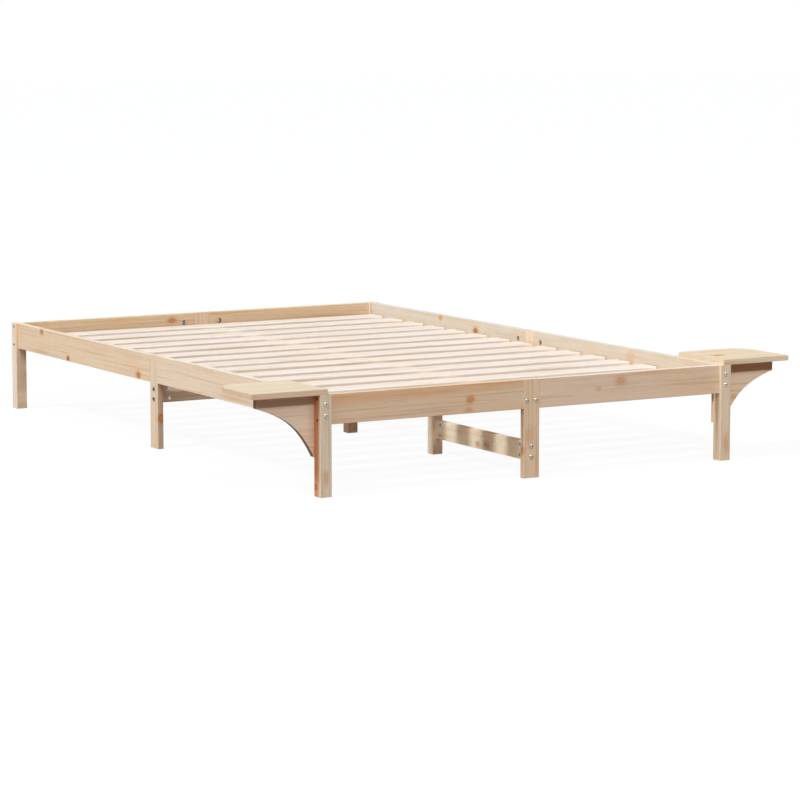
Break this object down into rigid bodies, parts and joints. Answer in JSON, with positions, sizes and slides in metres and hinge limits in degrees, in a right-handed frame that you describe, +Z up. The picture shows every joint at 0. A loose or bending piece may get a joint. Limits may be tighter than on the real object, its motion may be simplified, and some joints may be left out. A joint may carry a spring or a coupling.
{
  "type": "slatted bed frame with nightstand shelves",
  "caption": "Low pine bed frame with slats in a shallow mattress recess, square legs and a small nightstand shelf on a curved bracket at each head corner.",
  "frame": {"origin": "on the floor, under the centre of the bed", "axes": "+Z up, +Y from the head end with the nightstands to the foot end, +X to the right when standing at the head end and looking to the foot end"},
  "size_m": [1.647, 1.9574, 0.274],
  "materials": {
    "leg_wood": "bare sanded pine",
    "rail_wood": "bare sanded pine",
    "support_wood": "bare sanded pine",
    "slat_wood": "bare sanded pine, pale",
    "shelf_wood": "bare sanded pine",
    "bracket_wood": "bare sanded pine",
    "steel": "zinc plated"
  },
  "bodies": {
    "root": {"leg_head_left": "leg_wood", "leg_head_right": "leg_wood", "leg_foot_left": "leg_wood", "leg_foot_right": "leg_wood", "mid_leg_head": "leg_wood", "mid_leg_foot": "leg_wood", "mid_leg_left": "leg_wood", "mid_leg_right": "leg_wood", "centre_leg": "leg_wood", "quarter_leg_head": "leg_wood", "quarter_leg_foot": "leg_wood", "rail_head_left": "rail_wood", "rail_head_right": "rail_wood", "rail_foot_left": "rail_wood", "rail_foot_right": "rail_wood", "rail_left_head": "rail_wood", "rail_left_foot": "rail_wood", "rail_right_head": "rail_wood", "rail_right_foot": "rail_wood", "stretcher_head": "support_wood", "stretcher_foot": "support_wood", "cross_beam_left": "support_wood", "cross_beam_right": "support_wood", "centre_board_head": "support_wood", "centre_board_foot": "support_wood", "ledger_left_head": "support_wood", "ledger_left_foot": "support_wood", "ledger_right_head": "support_wood", "ledger_right_foot": "support_wood", "bracket_cleat_left": "support_wood", "bracket_cleat_right": "support_wood", "rail_cleat_left": "support_wood", "rail_cleat_right": "support_wood", "slat_1": "slat_wood", "slat_2": "slat_wood", "slat_3": "slat_wood", "slat_4": "slat_wood", "slat_5": "slat_wood", "slat_6": "slat_wood", "slat_7": "slat_wood", "slat_8": "slat_wood", "slat_9": "slat_wood", "slat_10": "slat_wood", "slat_11": "slat_wood", "slat_12": "slat_wood", "slat_13": "slat_wood", "slat_14": "slat_wood", "slat_15": "slat_wood", "shelf_left": "shelf_wood", "shelf_right": "shelf_wood", "bracket_left": "bracket_wood", "bracket_right": "bracket_wood", "corner_bolts": "steel", "half_moon_nuts": "steel", "mid_leg_studs": "steel", "beam_bolts": "steel", "barrel_nuts": "steel", "corner_screws": "steel", "slat_screws": "steel", "support_screws": "steel"}
  },
  "joints": []
}
